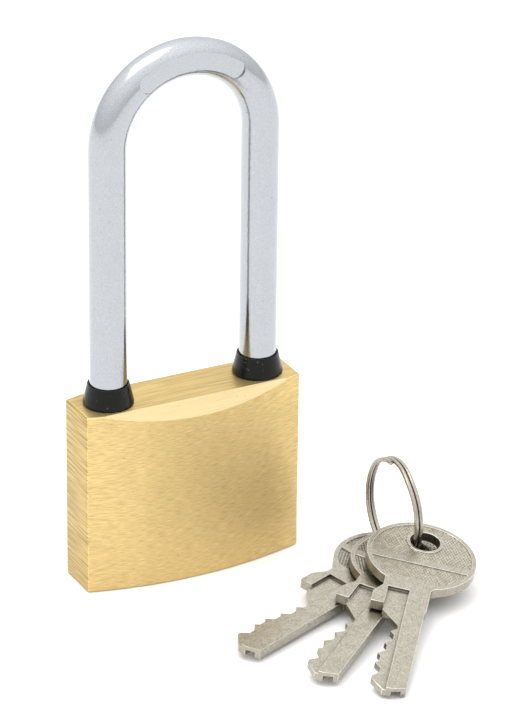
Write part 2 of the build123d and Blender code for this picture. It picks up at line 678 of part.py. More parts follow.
def pieces():
    """Every piece by its name."""
    found = {
        "lock_body": lock_body(),
        "shackle": shackle(),
        "toe_seal": leg_seal(LEG_X),
        "heel_seal": leg_seal(-LEG_X),
        "toe_bolt": toe_bolt(),
        "heel_bolt": heel_bolt(),
        "bolt_spring": bolt_spring(),
        "drive_cam": drive_cam(),
        "plug": plug(),
        "heel_spring": heel_spring(),
        "heel_retaining_pin": heel_retaining_pin(),
        "plug_retaining_pin": plug_retaining_pin(),
        "cross_bore_plug": cross_bore_plug(),
        "key_ring": key_ring(),
    }
    for number in range(PIN_COUNT):
        found[f"key_pin_{number + 1}"] = key_pin(number)
        found[f"driver_pin_{number + 1}"] = driver_pin(number)
        found[f"pin_spring_{number + 1}"] = pin_spring(number)
        found[f"chamber_plug_{number + 1}"] = chamber_plug(number)
    for number in range(len(KEY_HEADINGS)):
        found[f"key_{number + 1}"] = key(number)
    return found


if __name__ == "__main__":
    os.makedirs("parts", exist_ok=True)
    print("shackle lift", round(LIFT, 2))
    for name, piece in pieces().items():
        export_step(piece, f"parts/{name}.step")
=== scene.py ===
"""Looks of a brass padlock with its long shackle, split ring and three flat keys.

Metres.  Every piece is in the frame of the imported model: the origin is the middle of
the body's underside, +Z is up and the front face looks along -Y.
"""
import json
import logging
import math
from dataclasses import dataclass, replace
from enum import Enum

import bpy
from mathutils import Matrix, Vector
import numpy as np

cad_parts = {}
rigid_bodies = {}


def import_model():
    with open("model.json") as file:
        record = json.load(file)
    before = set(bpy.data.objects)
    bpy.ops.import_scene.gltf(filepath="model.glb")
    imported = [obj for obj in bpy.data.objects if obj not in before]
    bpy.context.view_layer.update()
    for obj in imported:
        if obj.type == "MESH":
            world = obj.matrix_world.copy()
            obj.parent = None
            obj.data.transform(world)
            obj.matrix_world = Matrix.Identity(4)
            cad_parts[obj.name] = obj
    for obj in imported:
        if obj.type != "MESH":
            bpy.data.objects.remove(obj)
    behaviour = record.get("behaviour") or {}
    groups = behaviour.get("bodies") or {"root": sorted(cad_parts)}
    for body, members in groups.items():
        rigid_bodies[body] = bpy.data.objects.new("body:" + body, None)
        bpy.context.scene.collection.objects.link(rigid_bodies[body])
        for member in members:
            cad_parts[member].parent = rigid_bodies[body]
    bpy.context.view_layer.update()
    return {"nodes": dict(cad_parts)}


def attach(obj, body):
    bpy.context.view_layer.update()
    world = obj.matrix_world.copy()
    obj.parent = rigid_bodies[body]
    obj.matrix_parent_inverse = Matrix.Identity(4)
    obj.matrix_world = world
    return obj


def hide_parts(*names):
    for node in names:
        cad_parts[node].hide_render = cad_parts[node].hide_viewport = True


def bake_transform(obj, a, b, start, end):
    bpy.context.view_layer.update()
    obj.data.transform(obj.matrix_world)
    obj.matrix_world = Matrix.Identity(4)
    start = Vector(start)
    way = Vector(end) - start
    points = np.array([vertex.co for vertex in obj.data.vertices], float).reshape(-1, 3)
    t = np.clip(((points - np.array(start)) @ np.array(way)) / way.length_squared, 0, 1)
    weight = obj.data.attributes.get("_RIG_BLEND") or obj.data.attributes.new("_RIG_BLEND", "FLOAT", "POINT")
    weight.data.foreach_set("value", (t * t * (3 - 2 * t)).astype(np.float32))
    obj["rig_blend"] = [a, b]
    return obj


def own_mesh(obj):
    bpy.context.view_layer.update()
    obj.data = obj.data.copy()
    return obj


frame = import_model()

MM = 0.001
log = logging.getLogger("padlock")

Colour = tuple[float, float, float]
Span = tuple[float, float]
Socket = bpy.types.NodeSocket

UNIT: Span = (0.0, 1.0)
# The span that a noise mostly keeps to.
NOISE_SPAN: Span = (0.3, 0.7)
# A face looks along an axis when its normal has more than this of it.
FACING_LIMIT = 0.5
# How much the brushing's cross direction leans towards Y.
SMEAR_LEAN = 0.3
CORNER_SAMPLES = 8
# Copies of CAD nodes: what counts as one point, as flat and as smooth.  Bends are in degrees.
MERGE_DISTANCE = 0.001 * MM
FLAT_BEND = 0.5
SMOOTH_BEND = 35.0
# Share of a sharp bend under which an eased piece is still shaded smooth.
SMOOTH_SHARE = 0.8


class Brushing(Enum):
    """Which way the brushing runs on a metal surface."""

    BLOCK = "level on the upright faces, and along X on the others"
    KEY = "along the key"
    TURNED = "round the upright axis"
    NONE = "a fine even grain"


class Graph:
    """The node tree of one material, with short calls for the nodes that the finishes use."""

    def __init__(self, name: str) -> None:
        """Makes a material with a plain shader.

        Args:
            name: The material's name.
        """
        self.material = bpy.data.materials.new(name)
        self.material.use_nodes = True
        self.tree = self.material.node_tree
        self.tree.nodes.clear()
        self.shader = self.tree.nodes.new("ShaderNodeBsdfPrincipled")
        output = self.tree.nodes.new("ShaderNodeOutputMaterial")
        self.join(self.shader.outputs["BSDF"], output.inputs["Surface"])

    def join(self, source: Socket, target: Socket) -> None:
        """Links one socket to another.

        Args:
            source: The output.
            target: The input.
        """
        self.tree.links.new(source, target)

    def feed(self, target: Socket, value: Socket | float | tuple) -> None:
        """Links a socket to an input, or sets the input's own value.

        Args:
            target: The input.
            value: A socket to link, or a constant.
        """
        if isinstance(value, bpy.types.NodeSocket):
            self.join(value, target)
        else:
            target.default_value = value

    def place(self, scale: tuple, turn: tuple = (0.0, 0.0, 0.0)) -> Socket:
        """Object coordinates, turned and then stretched.

        Args:
            scale: Cells per metre along each axis.
            turn: Rotation about each axis, in radians.

        Returns:
            The mapped vector.
        """
        source = self.tree.nodes.new("ShaderNodeTexCoord").outputs["Object"]
        turned = self.tree.nodes.new("ShaderNodeMapping")
        turned.inputs["Rotation"].default_value = turn
        self.join(source, turned.inputs["Vector"])
        stretched = self.tree.nodes.new("ShaderNodeMapping")
        stretched.inputs["Scale"].default_value = scale
        self.join(turned.outputs["Vector"], stretched.inputs["Vector"])
        return stretched.outputs["Vector"]

    def even(self, cell: float) -> Socket:
        """Object coordinates with cells of one size.

        Args:
            cell: Size of a cell, in metres.

        Returns:
            The mapped vector.
        """
        return self.place((1.0 / cell,) * 3)

    def noise(self, vector: Socket, detail: float = 2.0, rough: float = 0.5) -> Socket:
        """A noise of one cell per unit of the vector.

        Args:
            vector: The mapped coordinates.
            detail: How many finer layers are added.
            rough: How strong the finer layers are.

        Returns:
            The noise, about 0 to 1.
        """
        node = self.tree.nodes.new("ShaderNodeTexNoise")
        node.inputs["Scale"].default_value = 1.0
        node.inputs["Detail"].default_value = detail
        node.inputs["Roughness"].default_value = rough
        self.join(vector, node.inputs["Vector"])
        return node.outputs["Fac"]

    def specks(self, vector: Socket, size: float) -> Socket:
        """Small round specks, one in each cell of the vector.

        Args:
            vector: The mapped coordinates.
            size: Radius of a speck, as a share of its cell.

        Returns:
            1 inside a speck and 0 outside.
        """
        node = self.tree.nodes.new("ShaderNodeTexVoronoi")
        node.inputs["Scale"].default_value = 1.0
        self.join(vector, node.inputs["Vector"])
        return self.span(node.outputs["Distance"], (0.0, size), (1.0, 0.0))

    def span(self, value: Socket, source: Span, target: Span) -> Socket:
        """Maps one range of numbers onto another, held at the ends.

        Args:
            value: The number to map.
            source: Lowest and highest value taken.
            target: What those two become.

        Returns:
            The mapped number.
        """
        node = self.tree.nodes.new("ShaderNodeMapRange")
        self.join(value, node.inputs["Value"])
        node.inputs["From Min"].default_value, node.inputs["From Max"].default_value = source
        node.inputs["To Min"].default_value, node.inputs["To Max"].default_value = target
        return node.outputs["Result"]

    def calc(self, kind: str, first: Socket | float, second: Socket | float = 0.0) -> Socket:
        """One operation on numbers.

        Args:
            kind: The operation's name.
            first: The first number.
            second: The second number.

        Returns:
            The result.
        """
        node = self.tree.nodes.new("ShaderNodeMath")
        node.operation = kind
        self.feed(node.inputs[0], first)
        self.feed(node.inputs[1], second)
        return node.outputs["Value"]

    def blend(
        self, share: Socket, first: Colour | Socket, second: Colour | Socket, kind: str = "MIX"
    ) -> Socket:
        """A mix of two colours.

        Args:
            share: How much of the second colour.
            first: The first colour.
            second: The second colour.
            kind: MIX, or MULTIPLY to tint the first colour with the second.

        Returns:
            The mixed colour.
        """
        node = self.tree.nodes.new("ShaderNodeMix")
        node.data_type = "RGBA"
        node.blend_type = kind
        self.join(share, node.inputs["Factor"])
        for name, colour in (("A", first), ("B", second)):
            socket = next(s for s in node.inputs if s.name == name and s.type == "RGBA")
            constant = not isinstance(colour, bpy.types.NodeSocket)
            self.feed(socket, (*colour, 1.0) if constant else colour)
        return next(s for s in node.outputs if s.type == "RGBA")

    def choose(self, share: Socket, first: Socket, second: Socket) -> Socket:
        """A mix of two numbers.

        Args:
            share: How much of the second number.
            first: The first number.
            second: The second number.

        Returns:
            The mixed number.
        """
        node = self.tree.nodes.new("ShaderNodeMix")
        node.data_type = "FLOAT"
        sockets = (socket for socket in node.inputs if socket.type == "VALUE")
        for socket, value in zip(sockets, (share, first, second)):
            self.join(value, socket)
        return next(s for s in node.outputs if s.type == "VALUE")

    def facing(self, axis: str) -> Socket:
        """The faces that look along one axis, either way.

        Args:
            axis: X, Y or Z.

        Returns:
            1 on those faces, and 0 on the others.
        """
        normal = self.tree.nodes.new("ShaderNodeNewGeometry").outputs["True Normal"]
        split = self.tree.nodes.new("ShaderNodeSeparateXYZ")
        self.join(normal, split.inputs["Vector"])
        return self.calc("GREATER_THAN", self.calc("ABSOLUTE", split.outputs[axis]), FACING_LIMIT)

    def smear(self, amount: float) -> None:
        """Draws reflections out across brushing that runs level.

        Args:
            amount: How much, 0 to 1.
        """
        across = self.tree.nodes.new("ShaderNodeCombineXYZ")
        across.inputs["Y"].default_value = SMEAR_LEAN
        across.inputs["Z"].default_value = 1.0
        self.join(across.outputs["Vector"], self.shader.inputs["Tangent"])
        self.shader.inputs["Anisotropic"].default_value = amount

    def corners(self, reach: float) -> Socket:
        """How open the surface is.

        Args:
            reach: How far a wall can be and still count, in metres.

        Returns:
            1 on an open face, and less in corners and grooves.
        """
        node = self.tree.nodes.new("ShaderNodeAmbientOcclusion")
        node.samples = CORNER_SAMPLES
        node.inputs["Distance"].default_value = reach
        return node.outputs["AO"]

    def bump(self, height: Socket, depth: float, under: Socket | None = None) -> Socket:
        """A bump of a real depth.

        Args:
            height: The height, 0 to 1.
            depth: How high 1 stands, in metres.
            under: A bump that this one lies on.

        Returns:
            The bent normal.
        """
        node = self.tree.nodes.new("ShaderNodeBump")
        node.inputs["Distance"].default_value = depth
        self.join(height, node.inputs["Height"])
        if under is not None:
            self.join(under, node.inputs["Normal"])
        return node.outputs["Normal"]


@dataclass(frozen=True)
class MetalFinish:
    """A worked metal surface: its colour, its gloss, its brushing and its small marks.

    Attributes:
        name: The material's name.
        bright: Colour where the metal is clean.
        dull: Colour where it is tarnished.
        gloss: Roughness of the clean metal.
        unevenness: How much the roughness varies.
        brushing: Which way the brushing runs.
        line_width: Width of a brush line, in metres.
        line_length: Length of a brush line, in metres.
        line_depth: Depth of a brush line, in metres.
        line_grain: How strong the finer layers of a block's lines are, 0 to 1.
        front_reach: Times that a block's front line is longer along Y than along X.
        side_reach: Times that a line on a block's narrow side is longer than a front line.
        side_width: Times that it is wider.
        side_taken: The span of the side's noise that is drawn out.
        side_given: What that span becomes.
        top_reach: Times that a line on a block's top is longer than a front line.
        top_width: Times that it is wider.
        pit_spacing: Distance between pits, in metres.
        pit_depth: Depth of a pit, in metres.
        pit_size: Radius of a pit, as a share of the spacing.
        pit_shade: How bright a pit is beside the tarnished metal.
        pit_patches: Where in the cloud of patches the pits fade in.
        tarnish_taken: The span of lines and patches over which the colour changes.
        patches: How much the tarnish varies from place to place, 0 to 1.
        patch_size: Size of a patch of tarnish, in metres.
        patch_detail: How many finer layers a patch has.
        patch_grain: How strong those layers are, 0 to 1.
        corner_shade: How much painted shade darkens the corners, 0 to 1.
        corner_shade_reach: How far from a wall the painted shade reaches, in metres.
        corner_shade_tone: How bright the painted shade is beside the tarnished metal.
        corner_shade_open: How open a place is where the painted shade is darkest, and where it ends.
        side_shade: Painted shade that darkens the metal on the narrow sides, if it is drawn there.
        top_shade: Painted shade that darkens the metal on the top, if it is drawn there.
        chamfer_highlight: Painted highlight colour on flats that slope towards the front or back, if any.
        chamfer_highlight_share: How much of that painted highlight shows.
        smear: How far brushing draws reflections out, 0 to 1.
        heading: Direction of a key, in radians.
    """

    name: str
    bright: Colour
    dull: Colour
    gloss: float
    unevenness: float
    brushing: Brushing
    line_width: float = 0.11 * MM
    line_length: float = 1.8 * MM
    line_depth: float = 0.006 * MM
    line_grain: float = 0.6
    front_reach: float = 4.0
    side_reach: float = 6.0
    side_width: float = 2.8
    side_taken: Span = (0.32, 0.68)
    side_given: Span = (0.15, 0.85)
    top_reach: float = 4.0
    top_width: float = 2.0
    pit_spacing: float = 1.1 * MM
    pit_depth: float = 0.01 * MM
    pit_size: float = 0.14
    pit_shade: float = 0.45
    pit_patches: Span = (0.48, 0.6)
    tarnish_taken: Span = (0.1, 0.9)
    patches: float = 0.1
    patch_size: float = 6.0 * MM
    patch_detail: float = 5.0
    patch_grain: float = 0.65
    corner_shade: float = 0.0
    corner_shade_reach: float = 0.45 * MM
    corner_shade_tone: float = 0.22
    corner_shade_open: Span = (0.5, 0.92)
    side_shade: Colour | None = None
    top_shade: Colour | None = None
    chamfer_highlight: Colour | None = None
    chamfer_highlight_share: float = 0.8
    smear: float = 0.0
    heading: float = 0.0

    def block_lines(self, graph: Graph) -> Socket:
        """The brush lines of a block, whose front, narrow sides and top were worked in turn.

        Args:
            graph: The material's nodes.

        Returns:
            Their height, 0 to 1.
        """
        along = 1.0 / self.line_length
        across = 1.0 / self.line_width
        grain = self.line_grain
        front_place = graph.place((along, along / self.front_reach, across))
        front = graph.noise(front_place, detail=3.0, rough=grain)
        side_place = graph.place((along, along / self.side_reach, across / self.side_width))
        side_noise = graph.noise(side_place, detail=2.0, rough=grain)
        side = graph.span(side_noise, self.side_taken, self.side_given)
        top_place = graph.place((along / self.top_reach, across / self.top_width, across))
        top = graph.noise(top_place, detail=2.0, rough=grain)
        upright = graph.choose(graph.facing("X"), front, side)
        return graph.choose(graph.facing("Z"), upright, top)

    def lines(self, graph: Graph) -> Socket:
        """The brush lines.

        Args:
            graph: The material's nodes.

        Returns:
            Their height, 0 to 1.
        """
        along = 1.0 / self.line_length
        across = 1.0 / self.line_width
        if self.brushing is Brushing.BLOCK:
            return self.block_lines(graph)
        if self.brushing is Brushing.KEY:
            return graph.noise(graph.place((along, across, across), (0.0, 0.0, -self.heading)))
        if self.brushing is Brushing.TURNED:
            return graph.noise(graph.place((along, along, across)))
        return graph.noise(graph.even(self.line_width))

    def colour(self, graph: Graph, lines: Socket, cloud: Socket, pits: Socket) -> Socket:
        """The metal's colour: tarnish, pits, painted shade in corners and on sides, painted chamfer
        highlight.

        Args:
            graph: The material's nodes.
            lines: Height of the brush lines, 0 to 1.
            cloud: The noise of the patches.
            pits: 1 inside a pit and 0 outside.

        Returns:
            The colour.
        """
        patch = graph.span(cloud, NOISE_SPAN, (-self.patches, self.patches))
        tarnish = graph.span(graph.calc("ADD", lines, patch), self.tarnish_taken, UNIT)
        metal = graph.blend(tarnish, self.bright, self.dull)
        # Painted shade: the narrow sides and the top are darkened by a multiplied tint.
        for axis, tint in (("X", self.side_shade), ("Z", self.top_shade)):
            if tint:
                inner = graph.calc("SUBTRACT", graph.facing(axis), graph.facing("Y"))
                metal = graph.blend(graph.calc("MAXIMUM", inner, 0.0), metal, tint, "MULTIPLY")
        # Painted highlight: flats that slope towards the front or back take a paler colour.
        if self.chamfer_highlight:
            slope = graph.calc("MULTIPLY", graph.facing("Y"), graph.facing("Z"))
            metal = graph.blend(graph.calc("MULTIPLY", slope, self.chamfer_highlight_share), metal, self.chamfer_highlight)
        stain = tuple(self.pit_shade * part for part in self.dull)
        shown = graph.calc("MULTIPLY", pits, graph.span(cloud, self.pit_patches, UNIT))
        metal = graph.blend(shown, metal, stain)
        # Painted shade: an ambient occlusion mask darkens corners, grooves and hollows.
        if self.corner_shade:
            painted_shade = tuple(self.corner_shade_tone * part for part in self.dull)
            openness = graph.corners(self.corner_shade_reach)
            metal = graph.blend(graph.span(openness, self.corner_shade_open, (self.corner_shade, 0.0)), metal, painted_shade)
        return metal

    def build(self) -> bpy.types.Material:
        """Makes the material.

        Returns:
            The new material.
        """
        graph = Graph(self.name)
        lines = graph.span(self.lines(graph), NOISE_SPAN, UNIT)
        cloud = graph.noise(graph.even(self.patch_size), self.patch_detail, self.patch_grain)
        pits = graph.specks(graph.even(self.pit_spacing), self.pit_size)
        graph.join(self.colour(graph, lines, cloud, pits), graph.shader.inputs["Base Color"])
        low = self.gloss - self.unevenness
        high = self.gloss + self.unevenness
        graph.join(graph.span(lines, UNIT, (low, high)), graph.shader.inputs["Roughness"])
        graph.shader.inputs["Metallic"].default_value = 1.0
        if self.smear:
            graph.smear(self.smear)
        brushed = graph.bump(lines, self.line_depth)
        pitted = graph.bump(graph.calc("SUBTRACT", 1.0, pits), self.pit_depth, brushed)
        graph.join(pitted, graph.shader.inputs["Normal"])
        return graph.material


@dataclass(frozen=True)
class SealFinish:
    """Moulded black rubber with dust on it.

    Attributes:
        name: The material's name.
        rubber: Colour of the rubber.
        dust: Colour of a grain of dust.
        dust_spacing: Distance between grains, in metres.
        dust_size: Radius of a grain, as a share of the spacing.
        dust_patches: Where in the cloud the dust fades in.
        cloud_size: Size of a patch of dust, in metres.
        gloss: Lowest and highest roughness.
        shine: How strongly the rubber reflects.
        skin_size: Size of the grain of the rubber's skin, in metres.
        skin_depth: Depth of that grain, in metres.
    """

    name: str = "seal_black"
    rubber: Colour = (0.004, 0.0045, 0.0035)
    dust: Colour = (0.16, 0.17, 0.17)
    dust_spacing: float = 0.7 * MM
    dust_size: float = 0.26
    dust_patches: Span = (0.45, 0.6)
    cloud_size: float = MM / 0.35
    gloss: Span = (0.16, 0.3)
    shine: float = 0.2
    skin_size: float = 0.25 * MM
    skin_depth: float = 0.006 * MM

    def build(self) -> bpy.types.Material:
        """Makes the material.

        Returns:
            The new material.
        """
        graph = Graph(self.name)
        grains = graph.specks(graph.even(self.dust_spacing), self.dust_size)
        cloud = graph.noise(graph.even(self.cloud_size), detail=3.0)
        shown = graph.calc("MULTIPLY", grains, graph.span(cloud, self.dust_patches, UNIT))
        graph.join(graph.blend(shown, self.rubber, self.dust), graph.shader.inputs["Base Color"])
        graph.join(graph.span(cloud, NOISE_SPAN, self.gloss), graph.shader.inputs["Roughness"])
        graph.shader.inputs["Specular IOR Level"].default_value = self.shine
        skin = graph.noise(graph.even(self.skin_size))
        graph.join(graph.bump(skin, self.skin_depth), graph.shader.inputs["Normal"])
        return graph.material


BRASS = MetalFinish(
    name="body_brass",
    bright=(0.785, 0.59, 0.27),
    dull=(0.54, 0.40, 0.177),
    gloss=0.45,
    unevenness=0.06,
    brushing=Brushing.BLOCK,
    line_width=0.115 * MM,
    line_length=2.1 * MM,
    patches=0.06,
    # Painted shade on the narrow sides and the top.
    side_shade=(0.745, 0.725, 0.615),
    top_shade=(0.825, 0.825, 0.766),
    # Painted highlight colour on the chamfers.
    chamfer_highlight=(0.69, 0.57, 0.325),
    smear=0.7,
)
STOPPER = replace(
    BRASS, name="stopper_brass", bright=(0.77, 0.578, 0.265), dull=(0.525, 0.389, 0.172), chamfer_highlight=None
)
PLUG = MetalFinish(
    name="plug_brass",
    bright=(0.58, 0.44, 0.21),
    dull=(0.44, 0.32, 0.145),
    gloss=0.30,
    unevenness=0.06,
    brushing=Brushing.TURNED,
)
CHROME = MetalFinish(
    name="shackle_chrome",
    bright=(0.432, 0.449, 0.472),
    dull=(0.374, 0.389, 0.41),
    gloss=0.16,
    unevenness=0.04,
    brushing=Brushing.NONE,
    line_width=0.3 * MM,
    line_depth=0.003 * MM,
    pit_spacing=1.4 * MM,
    pit_depth=0.02 * MM,
)
INNER_STEEL = MetalFinish(
    name="inner_steel",
    bright=(0.42, 0.41, 0.40),
    dull=(0.30, 0.29, 0.28),
    gloss=0.30,
    unevenness=0.06,
    brushing=Brushing.TURNED,
)
SPRING_STEEL = MetalFinish(
    name="spring_steel",
    bright=(0.38, 0.38, 0.39),
    dull=(0.27, 0.27, 0.28),
    gloss=0.28,
    unevenness=0.05,
    brushing=Brushing.NONE,
)
RING_STEEL = MetalFinish(
    name="ring_steel",
    bright=(0.43, 0.40, 0.345),
    dull=(0.31, 0.285, 0.24),
    gloss=0.22,
    unevenness=0.06,
    brushing=Brushing.NONE,
    line_width=0.25 * MM,
    # Painted shade in the ring's corners, where the wires lie close.
    corner_shade=0.5,
)
KEY_NICKEL = MetalFinish(
    name="key_nickel",
    bright=(0.465, 0.434, 0.364),
    dull=(0.26, 0.24, 0.196),
    gloss=0.30,
    unevenness=0.07,
    brushing=Brushing.KEY,
    line_width=0.16 * MM,
    line_length=0.5 * MM,
    line_depth=0.012 * MM,
    pit_spacing=0.8 * MM,
    pit_depth=0.03 * MM,
    patches=0.16,
    patch_size=1.5 * MM,
    # Painted shade in the key's corners and beside its steps, reaching far from each wall.
    corner_shade=0.7,
    corner_shade_reach=1.4 * MM,
)
# Brighter colour on the keys' broken edges: rubbed wear with a painted highlight, and painted shade in
# corners.
KEY_EDGE = MetalFinish(
    name="key_edge",
    bright=(0.66, 0.63, 0.555),
    dull=(0.50, 0.47, 0.41),
    gloss=0.25,
    unevenness=0.05,
    brushing=Brushing.NONE,
    line_width=0.4 * MM,
    patches=0.4,
    patch_size=2.0 * MM,
    corner_shade=0.9,
)
KNURL_POINTS = MetalFinish(
    name="key_knurl",
    bright=(0.455, 0.428, 0.36),
    dull=(0.315, 0.293, 0.245),
    gloss=0.3,
    unevenness=0.06,
    brushing=Brushing.NONE,
    line_width=0.6 * MM,
    patches=0.3,
    patch_size=2.0 * MM,
)
# Near-black painted shade in the grooves between the knurl's pyramids.
GROOVE_SHADE = replace(
    KNURL_POINTS,
    name="key_groove",
    bright=(0.08, 0.075, 0.06),
    dull=(0.045, 0.042, 0.034),
    gloss=0.4,
    patches=0.5,
)


def deselect() -> None:
    """Leaves object mode ready for a new piece, with nothing selected."""
    if bpy.context.object is not None and bpy.context.object.mode != "OBJECT":
        bpy.ops.object.mode_set(mode="OBJECT")
    bpy.ops.object.select_all(action="DESELECT")


def pick(piece: bpy.types.Object) -> None:
    """Makes one object the only selected one.

    Args:
        piece: The object.
    """
    deselect()
    piece.select_set(True)
    bpy.context.view_layer.objects.active = piece


def apply_place() -> None:
    """Puts the selected object's place, turn and scale into its mesh."""
    bpy.ops.object.transform_apply(location=True, rotation=True, scale=True)


def face_outwards() -> None:
    """Turns all the faces of the mesh in edit mode outwards."""
    bpy.ops.mesh.select_all(action="SELECT")
    bpy.ops.mesh.normals_make_consistent(inside=False)


def box_corners(piece: bpy.types.Object) -> tuple[Vector, Vector]:
    """The corners of an object's box.

    Args:
        piece: The object.

    Returns:
        The lowest and the highest corner.
    """
    corners = [Vector(corner) for corner in piece.bound_box]
    return corners[0], corners[6]


def copy_of(piece: bpy.types.Object, name: str) -> bpy.types.Object:
    """A copy of an object with a mesh of its own.

    Args:
        piece: The object to copy.
        name: Name of the copy.

    Returns:
        The copy.
    """
    pick(piece)
    bpy.ops.object.duplicate(linked=False)
    copy = bpy.context.object
    copy.name = name
    return copy


def settle(piece: bpy.types.Object, matrix: Matrix) -> None:
    """Puts an object's place into its mesh.

    Args:
        piece: The object.
        matrix: Where it goes.
    """
    pick(piece)
    piece.matrix_world = matrix
    apply_place()


def combine(piece: bpy.types.Object, tool: bpy.types.Object, how: str) -> None:
    """Joins or cuts one solid with another, which is used up.

    Args:
        piece: The solid that is changed.
        tool: The other solid.
        how: UNION, DIFFERENCE or INTERSECT.
    """
    pick(piece)
    bpy.ops.object.modifier_add(type="BOOLEAN")
    change = piece.modifiers[-1]
    change.operation = how
    change.solver = "EXACT"
    change.object = tool
    bpy.ops.object.modifier_apply(modifier=change.name)
    pick(tool)
    bpy.ops.object.delete()


def wear(piece: bpy.types.Object, material: bpy.types.Material) -> None:
    """Puts one material on an object.

    Args:
        piece: The object.
        material: Its finish.
    """
    piece.data.materials.clear()
    piece.data.materials.append(material)


def merged_copy(node: str, name: str) -> bpy.types.Object:
    """A copy of a CAD node with its doubled points merged.

    Args:
        node: The node's name.
        name: Name of the copy.

    Returns:
        The copy, which stands in for the node.
    """
    copy = copy_of(frame["nodes"][node], name)
    bpy.ops.object.parent_clear(type="CLEAR_KEEP_TRANSFORM")
    apply_place()
    bpy.ops.object.mode_set(mode="EDIT")
    bpy.ops.mesh.customdata_custom_splitnormals_clear()
    bpy.ops.mesh.select_all(action="SELECT")
    bpy.ops.mesh.remove_doubles(threshold=MERGE_DISTANCE)
    face_outwards()
    bpy.ops.object.mode_set(mode="OBJECT")
    bpy.ops.object.shade_smooth_by_angle(angle=math.radians(SMOOTH_BEND))
    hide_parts(node)
    return copy


def eased_copy(
    node: str, width: float, sharp: float, edge_wear_and_highlight: bpy.types.Material | None = None
) -> bpy.types.Object:
    """A copy of a CAD node with its sharp edges broken.

    Args:
        node: The node's name.
        width: Width of the broken edge, in metres.
        sharp: Bend from which an edge counts as sharp, in degrees.
        edge_wear_and_highlight: Finish of the broken edges, if it is another one; for keys, wear with a
            painted highlight.

    Returns:
        The copy, which stands in for the node.
    """
    copy = merged_copy(node, f"{node}_eased")
    bpy.ops.object.mode_set(mode="EDIT")
    bpy.ops.mesh.select_all(action="SELECT")
    bpy.ops.mesh.dissolve_limited(angle_limit=math.radians(FLAT_BEND))
    bpy.ops.object.mode_set(mode="OBJECT")
    bpy.ops.object.modifier_add(type="BEVEL")
    bevel = copy.modifiers[-1]
    bevel.width = width
    bevel.segments = 2
    bevel.limit_method = "ANGLE"
    bevel.angle_limit = math.radians(sharp)
    bevel.use_clamp_overlap = True
    # The keys' edge finish is rubbed wear with a painted highlight.
    if edge_wear_and_highlight is not None:
        copy.data.materials.append(edge_wear_and_highlight)
        bevel.material = 1
    bpy.ops.object.modifier_apply(modifier=bevel.name)
    bpy.ops.object.shade_smooth_by_angle(angle=math.radians(SMOOTH_SHARE * sharp))
    return copy


@dataclass
class Lock:
    """The padlock itself: block, shackle, seals and what is inside.

    Attributes:
        pin_count: How many pin stacks it has.
        edge: Width of the block's broken edges.
        edge_bend: Bend from which an edge of the block is broken, in degrees.
        bolt_draw: How far each bolt draws in; not used.
    """

    pin_count: int = 5
    edge: float = 0.12 * MM
    edge_bend: float = 15.0
    bolt_draw: float = 5.5 * MM

    def springs(self) -> None:
        """Lets the heel spring stretch as the shackle lifts; the bolt spring rides with the case."""
        bolt = merged_copy("bolt_spring", "bolt_spring_coil")
        low, high = box_corners(bolt)
        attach(bolt, "case")
        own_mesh(bolt)
        heel = merged_copy("heel_spring", "heel_spring_coil")
        low, high = box_corners(heel)
        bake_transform(heel, "case", "shackle", start=(low.x, low.y, low.z), end=(low.x, low.y, high.z))

    def dress(self) -> None:
        """Gives each of the lock's nodes its finish."""
        nodes = frame["nodes"]
        brass = BRASS.build()
        stopper = STOPPER.build()
        plug = PLUG.build()
        inner = INNER_STEEL.build()
        spring = SPRING_STEEL.build()
        seal = SealFinish().build()
        wear(nodes["lock_body"], brass)
        block = eased_copy("lock_body", self.edge, self.edge_bend)
        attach(block, "case")
        wear(nodes["shackle"], CHROME.build())
        wear(nodes["toe_seal"], seal)
        wear(nodes["heel_seal"], seal)
        wear(nodes["cross_bore_plug"], stopper)
        wear(nodes["plug"], plug)
        for node in ("toe_bolt", "heel_bolt", "drive_cam"):
            wear(nodes[node], inner)
        for node in ("plug_retaining_pin", "heel_retaining_pin"):
            wear(nodes[node], inner)
        for node in ("bolt_spring", "heel_spring"):
            wear(nodes[node], spring)
        for number in range(1, self.pin_count + 1):
            wear(nodes[f"key_pin_{number}"], plug)
            wear(nodes[f"driver_pin_{number}"], plug)
            wear(nodes[f"pin_spring_{number}"], spring)
            wear(nodes[f"chamber_plug_{number}"], stopper)
        self.springs()


@dataclass(frozen=True)
class KeyPlace:
    """Where one key lies.

    Attributes:
        hole: Middle of its ring hole, in millimetres.
        heading: Direction of its tip on the floor, in degrees.
        slope: How far the tip points down, in degrees.
        roll: How far its right side is raised, in degrees.
    """

    hole: tuple[float, float, float]
    heading: float
    slope: float
    roll: float

    def matrix(self) -> Matrix:
        """The key's own frame: tip along X, top along Z.

        Returns:
            The frame as a matrix.
        """
        turn = Matrix.Rotation(math.radians(self.heading), 4, "Z")
        dip = Matrix.Rotation(math.radians(self.slope), 4, "Y")
        roll = Matrix.Rotation(math.radians(self.roll), 4, "X")
        return Matrix.Translation(Vector(self.hole) * MM) @ turn @ dip @ roll


